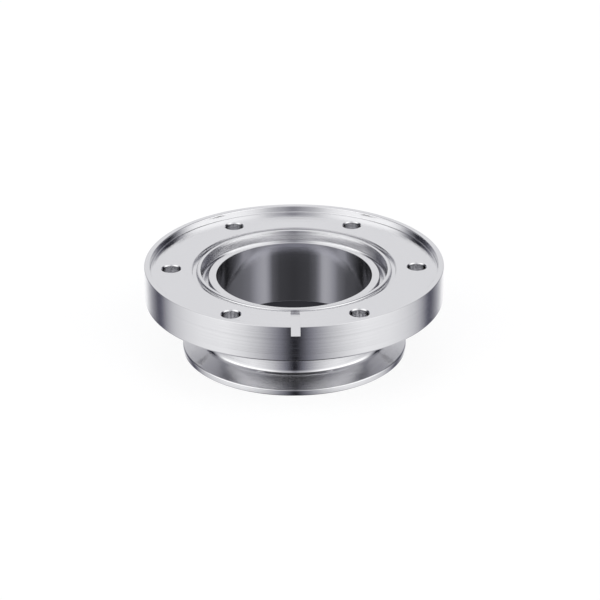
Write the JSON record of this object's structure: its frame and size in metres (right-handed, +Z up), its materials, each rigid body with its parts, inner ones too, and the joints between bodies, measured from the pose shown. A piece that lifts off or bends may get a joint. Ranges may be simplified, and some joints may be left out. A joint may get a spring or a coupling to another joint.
{
  "type": "process adapter",
  "caption": "Turned stainless steel process adapter: a bolting flange with a raised rim and a grooved sealing face, on a short neck with a clamp ferrule",
  "frame": {"origin": "centre of the clamp ferrule's sealing face, on the bore's axis, where the part stands", "axes": "+Z up the bore's axis to the bolting face, -Y along the drain slot, +X through a bolt hole"},
  "size_m": [0.14, 0.14, 0.043],
  "materials": {
    "stainless_steel": "finely turned and polished"
  },
  "bodies": {
    "root": {"adapter_body": "stainless_steel"}
  },
  "joints": []
}
